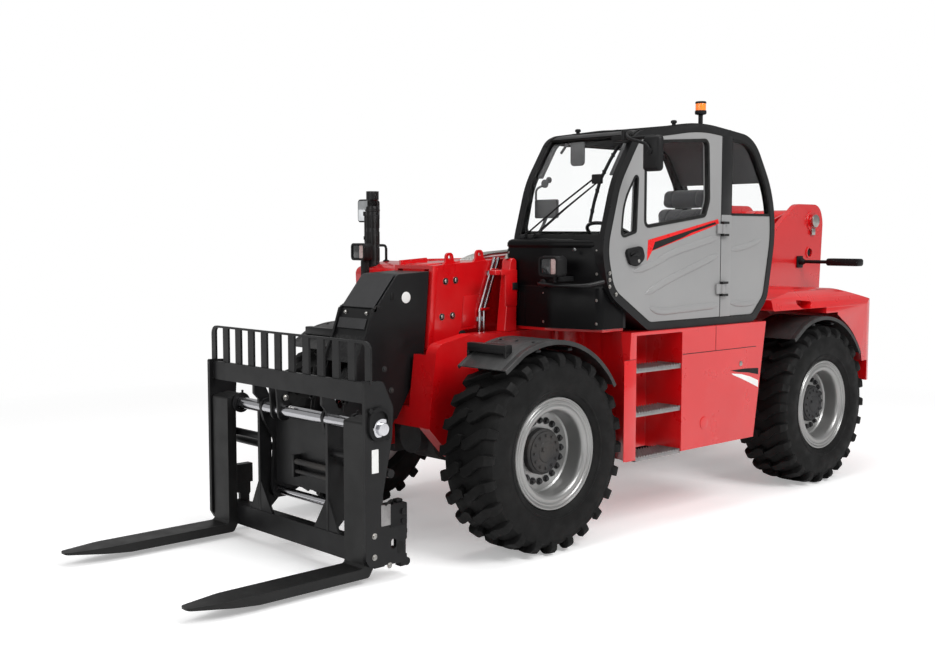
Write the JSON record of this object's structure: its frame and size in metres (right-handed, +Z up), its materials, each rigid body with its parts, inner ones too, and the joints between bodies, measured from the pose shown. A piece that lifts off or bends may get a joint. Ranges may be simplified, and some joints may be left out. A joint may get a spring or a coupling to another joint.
{
  "type": "telehandler",
  "caption": "Four-wheel telescopic handler with a left-hand cab, a hinged telescoping boom, fork carriage, four-wheel steering, opening door and engine hood.",
  "frame": {"origin": "on the ground under the middle of the machine's box, on its centre plane", "axes": "+X forward along the boom, +Y to the driver's left, +Z up"},
  "size_m": [7.0633, 3.04, 3.09],
  "materials": {
    "red_paint": "gloss red paint",
    "black_paint": "satin black paint",
    "grey_paint": "satin mid grey paint",
    "rim_silver": "light silver paint",
    "tyre_rubber": "black rubber",
    "window_glass": "clear tinted glass",
    "chrome_rod": "hard chrome",
    "bare_steel": "bright steel",
    "galvanised": "galvanised",
    "black_plastic": "moulded black plastic",
    "seat_cloth": "dark seat cloth",
    "cast_grey": "painted casting",
    "amber_lens": "amber lens"
  },
  "bodies": {
    "chassis": {"chassis_frame": "red_paint", "boom_tower": "red_paint", "front_axle": "cast_grey", "rear_axle": "cast_grey", "counterweight": "red_paint", "left_side_box": "red_paint", "cab_steps": "galvanised", "engine_bay": "red_paint", "engine_block": "cast_grey", "cab_frame": "black_paint", "cab_rear_quarter": "grey_paint", "cab_glass": "window_glass", "operator_seat": "seat_cloth", "steering_console": "black_plastic", "work_lamps": "black_plastic", "mirrors": "black_plastic", "rear_mirror": "black_plastic", "beacon": "amber_lens", "exhaust_stack": "black_paint", "side_post": "red_paint"},
    "hood": {"engine_hood": "red_paint", "hood_grille": "black_plastic"},
    "door": {"door_panel": "grey_paint", "door_glass": "window_glass"},
    "boom_outer": {"boom_base": "red_paint", "boom_pipes": "bare_steel"},
    "boom_inner_section": {"boom_inner": "red_paint", "head_cover": "black_paint"},
    "lift_barrels": {"lift_barrel": "black_paint"},
    "lift_rods": {"lift_rod": "chrome_rod"},
    "tilt_cylinder_barrel": {"tilt_barrel": "black_paint"},
    "tilt_cylinder_rod": {"tilt_rod": "chrome_rod"},
    "carriage": {"coupler": "black_paint", "carriage_frame": "black_paint", "fork_shaft": "chrome_rod"},
    "left_fork": {"fork_left": "black_paint"},
    "right_fork": {"fork_right": "black_paint"},
    "knuckle_fl_body": {"knuckle_fl": "cast_grey", "fender_fl": "black_plastic"},
    "wheel_fl": {"rim_fl": "rim_silver", "tyre_fl": "tyre_rubber"},
    "knuckle_fr_body": {"knuckle_fr": "cast_grey", "fender_fr": "black_plastic"},
    "wheel_fr": {"rim_fr": "rim_silver", "tyre_fr": "tyre_rubber"},
    "knuckle_rl_body": {"knuckle_rl": "cast_grey", "fender_rl": "black_plastic"},
    "wheel_rl": {"rim_rl": "rim_silver", "tyre_rl": "tyre_rubber"},
    "knuckle_rr_body": {"knuckle_rr": "cast_grey", "fender_rr": "black_plastic"},
    "wheel_rr": {"rim_rr": "rim_silver", "tyre_rr": "tyre_rubber"}
  },
  "joints": [
    {"name": "steer_fl", "type": "hinge", "parent": "chassis", "child": "knuckle_fl_body", "pos_m": [1.029, 0.8, 0.674], "axis": [0, 0, 1], "range_deg": [-26, 26]},
    {"name": "steer_fr", "type": "hinge", "parent": "chassis", "child": "knuckle_fr_body", "pos_m": [1.029, -0.8, 0.674], "axis": [0, 0, 1], "range_deg": [-26, 26]},
    {"name": "steer_rl", "type": "hinge", "parent": "chassis", "child": "knuckle_rl_body", "pos_m": [-2.285, 0.8, 0.674], "axis": [0, 0, 1], "range_deg": [-26, 26]},
    {"name": "steer_rr", "type": "hinge", "parent": "chassis", "child": "knuckle_rr_body", "pos_m": [-2.285, -0.8, 0.674], "axis": [0, 0, 1], "range_deg": [-26, 26]},
    {"name": "spin_fl", "type": "hinge", "parent": "knuckle_fl_body", "child": "wheel_fl", "pos_m": [1.029, 0.965, 0.674], "axis": [0, 1, 0], "continuous": true},
    {"name": "spin_fr", "type": "hinge", "parent": "knuckle_fr_body", "child": "wheel_fr", "pos_m": [1.029, -0.965, 0.674], "axis": [0, 1, 0], "continuous": true},
    {"name": "spin_rl", "type": "hinge", "parent": "knuckle_rl_body", "child": "wheel_rl", "pos_m": [-2.285, 0.965, 0.674], "axis": [0, 1, 0], "continuous": true},
    {"name": "spin_rr", "type": "hinge", "parent": "knuckle_rr_body", "child": "wheel_rr", "pos_m": [-2.285, -0.965, 0.674], "axis": [0, 1, 0], "continuous": true},
    {"name": "boom_lift", "type": "hinge", "parent": "chassis", "child": "boom_outer", "pos_m": [-3.333, 0, 2.237], "axis": [0, -1, 0], "range_deg": [0, 65]},
    {"name": "boom_extend", "type": "slide", "parent": "boom_outer", "child": "boom_inner_section", "axis": [0.998, 0, -0.0628], "range_m": [0, 2.9]},
    {"name": "lift_barrel_swing", "type": "hinge", "parent": "chassis", "child": "lift_barrels", "pos_m": [-2.828, 0, 0.93], "axis": [0, -1, 0], "range_deg": [-1, 57.04]},
    {"name": "lift_rod_slide", "type": "slide", "parent": "lift_barrels", "child": "lift_rods", "axis": [0.9801, 0, 0.1984], "range_m": [-0.01, 1.4436]},
    {"name": "carriage_tilt", "type": "hinge", "parent": "boom_inner_section", "child": "carriage", "pos_m": [1.972, 0, 0.5], "axis": [0, 1, 0], "range_deg": [-12, 65]},
    {"name": "tilt_barrel_swing", "type": "hinge", "parent": "boom_inner_section", "child": "tilt_cylinder_barrel", "pos_m": [1.432, 0, 1.64], "axis": [0, -1, 0], "range_deg": [-2.28, 2.28]},
    {"name": "tilt_rod_slide", "type": "slide", "parent": "tilt_cylinder_barrel", "child": "tilt_cylinder_rod", "axis": [0.6243, 0, -0.7812], "range_m": [-0.0813, 0.3962]},
    {"name": "left_fork_slide", "type": "slide", "parent": "carriage", "child": "left_fork", "axis": [0, 1, 0], "range_m": [-0.24, 0]},
    {"name": "right_fork_slide", "type": "slide", "parent": "carriage", "child": "right_fork", "axis": [0, -1, 0], "range_m": [-0.24, 0]},
    {"name": "door_hinge", "type": "hinge", "parent": "chassis", "child": "door", "pos_m": [-0.783, 1.185, 1.7], "axis": [0, 0, 1], "range_deg": [0, 95]},
    {"name": "hood_hinge", "type": "hinge", "parent": "chassis", "child": "hood", "pos_m": [-1.228, -0.463, 1.922], "axis": [-1, 0, 0], "range_deg": [0, 55]}
  ],
  "couplings": [
    {"joint": "steer_fr", "follows": "steer_fl", "ratio": 1},
    {"joint": "steer_rr", "follows": "steer_rl", "ratio": 1},
    {"joint": "lift_barrel_swing", "follows": "boom_lift", "ratio": 0.86211},
    {"joint": "lift_rod_slide", "follows": "boom_lift", "m_per_rad": 1.2637},
    {"joint": "tilt_barrel_swing", "follows": "carriage_tilt", "ratio": 0.016429},
    {"joint": "tilt_rod_slide", "follows": "carriage_tilt", "m_per_rad": 0.34044}
  ]
}
